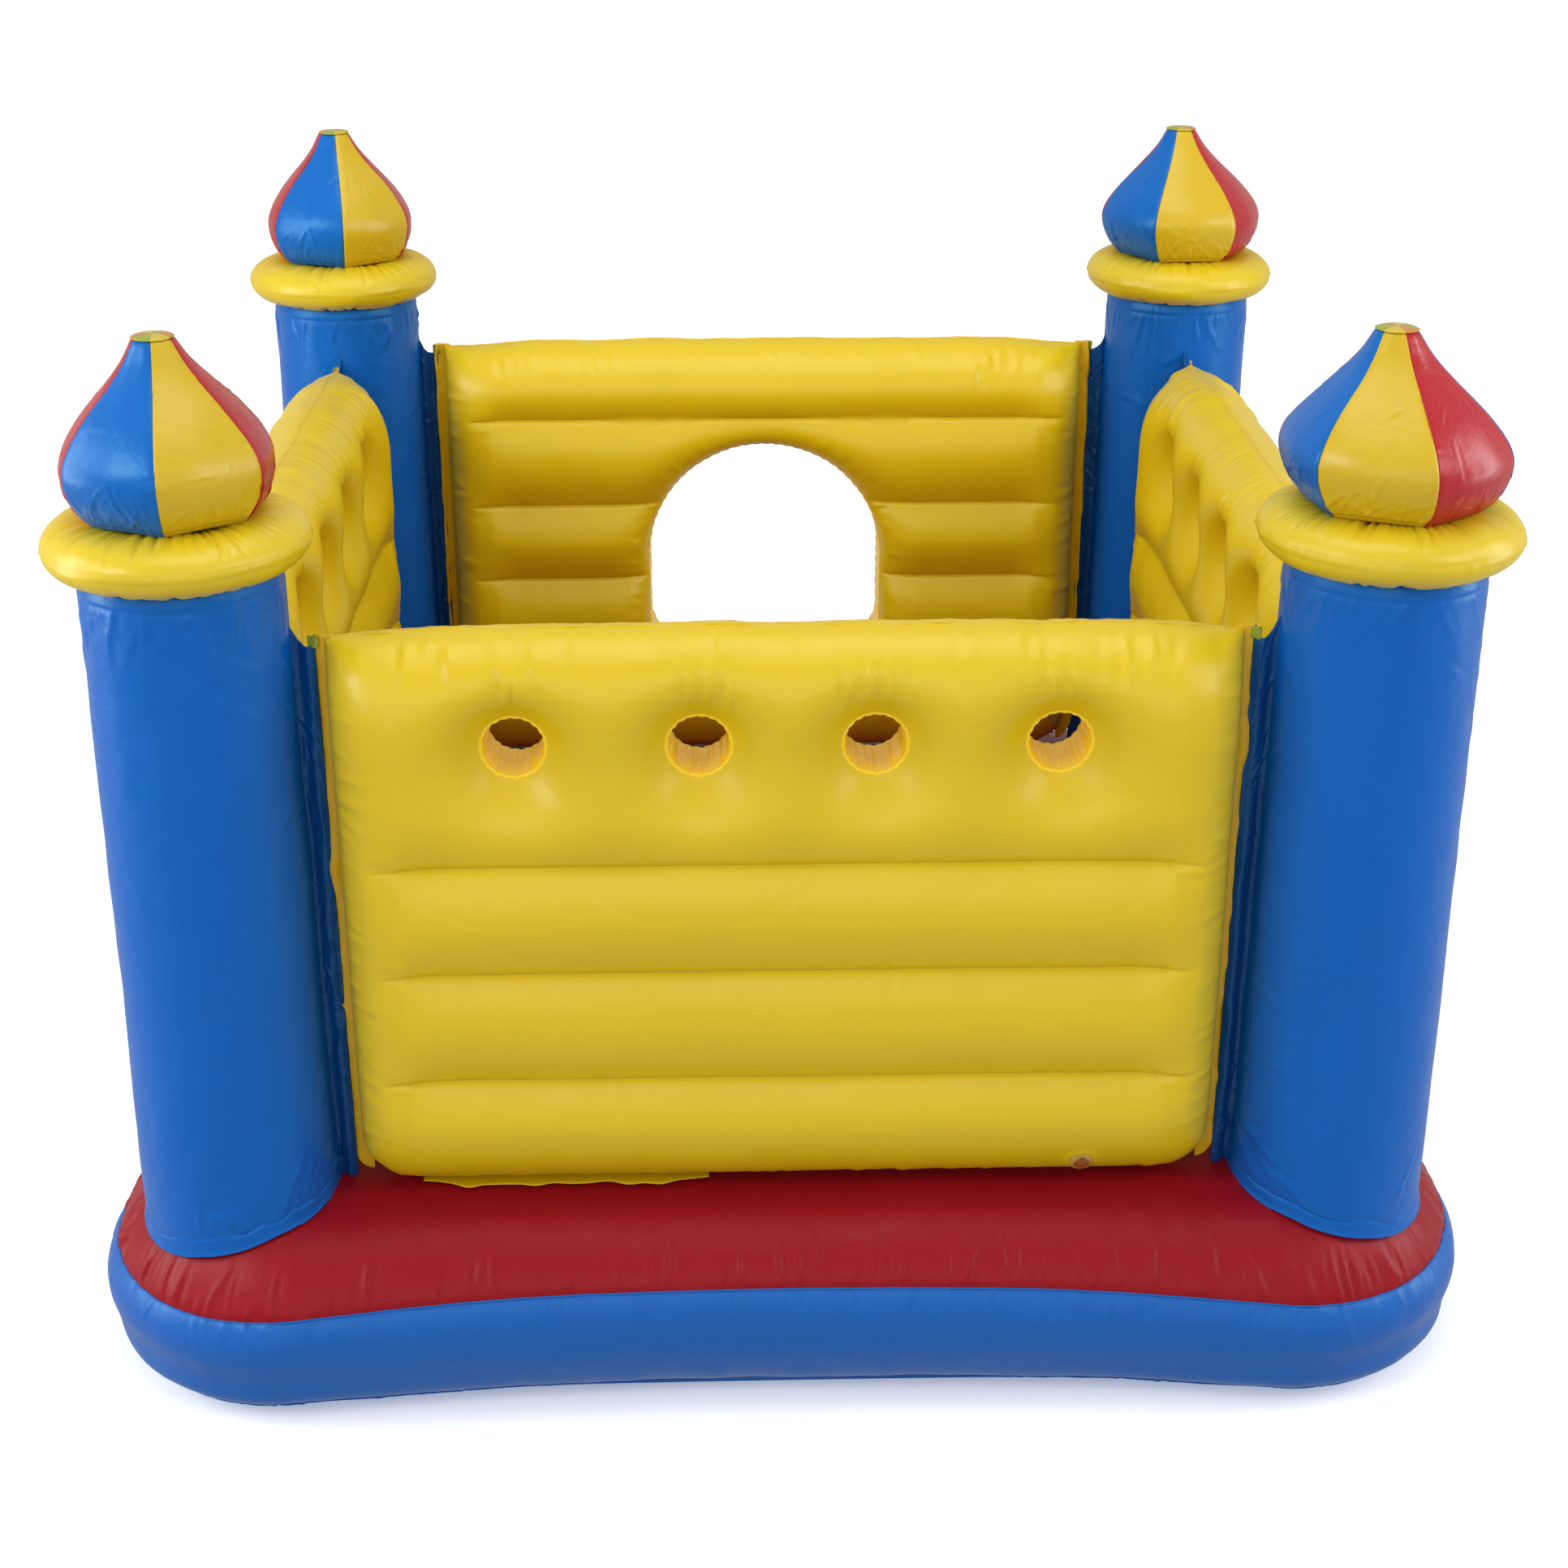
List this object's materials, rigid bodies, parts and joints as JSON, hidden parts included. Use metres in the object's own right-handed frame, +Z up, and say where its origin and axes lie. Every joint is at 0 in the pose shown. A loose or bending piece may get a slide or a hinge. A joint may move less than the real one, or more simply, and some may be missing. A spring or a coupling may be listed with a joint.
{
  "type": "inflatable bounce house",
  "caption": "Castle-shaped inflatable bounce house with a square air base, quilted walls, corner towers, ring collars, onion domes and a doorway.",
  "frame": {"origin": "centre of the flat underside, on the ground", "axes": "+Z up, +Y towards the doorway wall, +X to the right as seen from the wall opposite the doorway"},
  "size_m": [1.75, 1.75, 1.3498],
  "materials": {
    "pvc_blue_base": "satin",
    "pvc_blue_tower": "satin",
    "pvc_blue_web": "satin",
    "pvc_yellow_wall": "satin",
    "pvc_yellow_collar": "satin",
    "pvc_red_deck": "satin",
    "pvc_red_floor": "satin",
    "pvc_blue_dome": "gloss",
    "pvc_yellow_dome": "gloss",
    "pvc_red_dome": "gloss",
    "clear_vinyl": "gloss",
    "plug_vinyl": "satin"
  },
  "bodies": {
    "root": {"base_bottom_sheet": "pvc_blue_base", "base_side_band": "pvc_blue_base", "base_deck": "pvc_red_deck", "floor_tension_bands": "pvc_red_floor", "tower_front_left": "pvc_blue_tower", "collar_front_left": "pvc_yellow_collar", "dome_front_left_gore_1": "pvc_yellow_dome", "dome_front_left_gore_2": "pvc_red_dome", "dome_front_left_gore_3": "pvc_blue_dome", "dome_front_left_gore_4": "pvc_yellow_dome", "dome_front_left_gore_5": "pvc_red_dome", "dome_front_left_gore_6": "pvc_blue_dome", "tower_front_right": "pvc_blue_tower", "collar_front_right": "pvc_yellow_collar", "dome_front_right_gore_1": "pvc_yellow_dome", "dome_front_right_gore_2": "pvc_red_dome", "dome_front_right_gore_3": "pvc_blue_dome", "dome_front_right_gore_4": "pvc_yellow_dome", "dome_front_right_gore_5": "pvc_red_dome", "dome_front_right_gore_6": "pvc_blue_dome", "tower_back_left": "pvc_blue_tower", "collar_back_left": "pvc_yellow_collar", "dome_back_left_gore_1": "pvc_yellow_dome", "dome_back_left_gore_2": "pvc_red_dome", "dome_back_left_gore_3": "pvc_blue_dome", "dome_back_left_gore_4": "pvc_yellow_dome", "dome_back_left_gore_5": "pvc_red_dome", "dome_back_left_gore_6": "pvc_blue_dome", "tower_back_right": "pvc_blue_tower", "collar_back_right": "pvc_yellow_collar", "dome_back_right_gore_1": "pvc_yellow_dome", "dome_back_right_gore_2": "pvc_red_dome", "dome_back_right_gore_3": "pvc_blue_dome", "dome_back_right_gore_4": "pvc_yellow_dome", "dome_back_right_gore_5": "pvc_red_dome", "dome_back_right_gore_6": "pvc_blue_dome", "wall_front": "pvc_yellow_wall", "web_front_left": "pvc_blue_web", "web_front_right": "pvc_blue_web", "wall_left": "pvc_yellow_wall", "web_left_back": "pvc_blue_web", "web_left_front": "pvc_blue_web", "wall_right": "pvc_yellow_wall", "web_right_front": "pvc_blue_web", "web_right_back": "pvc_blue_web", "wall_back": "pvc_yellow_wall", "web_back_right": "pvc_blue_web", "web_back_left": "pvc_blue_web"},
    "floor": {"bounce_floor": "pvc_red_floor"},
    "valve_front": {"valve_front_body": "clear_vinyl"},
    "valve_front_cap": {"valve_front_plug": "plug_vinyl"},
    "valve_left": {"valve_left_body": "clear_vinyl"},
    "valve_left_cap": {"valve_left_plug": "plug_vinyl"},
    "valve_right": {"valve_right_body": "clear_vinyl"},
    "valve_right_cap": {"valve_right_plug": "plug_vinyl"},
    "valve_back": {"valve_back_body": "clear_vinyl"},
    "valve_back_cap": {"valve_back_plug": "plug_vinyl"},
    "valve_base": {"valve_base_body": "clear_vinyl"},
    "valve_base_cap": {"valve_base_plug": "plug_vinyl"}
  },
  "joints": [
    {"name": "floor_bounce", "type": "slide", "parent": "root", "child": "floor", "axis": [0, 0, 1], "range_m": [-0.08, 0], "stiffness_N_per_m": 6000, "springref_m": 0.004},
    {"name": "valve_front_pull", "type": "slide", "parent": "root", "child": "valve_front", "axis": [0, -0.9125, -0.4091], "range_m": [0, 0.018]},
    {"name": "valve_front_open", "type": "hinge", "parent": "valve_front", "child": "valve_front_cap", "pos_m": [0.37, -0.77822, 0.31161], "axis": [-1, 0, 0], "range_deg": [0, 110]},
    {"name": "valve_left_pull", "type": "slide", "parent": "root", "child": "valve_left", "axis": [-0.9125, 0, -0.4091], "range_m": [0, 0.018]},
    {"name": "valve_left_open", "type": "hinge", "parent": "valve_left", "child": "valve_left_cap", "pos_m": [-0.77822, -0.37, 0.31161], "axis": [0, 1, 0], "range_deg": [0, 110]},
    {"name": "valve_right_pull", "type": "slide", "parent": "root", "child": "valve_right", "axis": [0.9125, 0, -0.4091], "range_m": [0, 0.018]},
    {"name": "valve_right_open", "type": "hinge", "parent": "valve_right", "child": "valve_right_cap", "pos_m": [0.77822, 0.37, 0.31161], "axis": [0, -1, 0], "range_deg": [0, 110]},
    {"name": "valve_back_pull", "type": "slide", "parent": "root", "child": "valve_back", "axis": [0, 0.9125, -0.4091], "range_m": [0, 0.018]},
    {"name": "valve_back_open", "type": "hinge", "parent": "valve_back", "child": "valve_back_cap", "pos_m": [-0.37, 0.77822, 0.31161], "axis": [1, 0, 0], "range_deg": [0, 110]},
    {"name": "valve_base_pull", "type": "slide", "parent": "root", "child": "valve_base", "axis": [0, 1, 0], "range_m": [0, 0.018]},
    {"name": "valve_base_open", "type": "hinge", "parent": "valve_base", "child": "valve_base_cap", "pos_m": [0.45, 0.8736, 0.125], "axis": [1, 0, 0], "range_deg": [0, 110]}
  ]
}
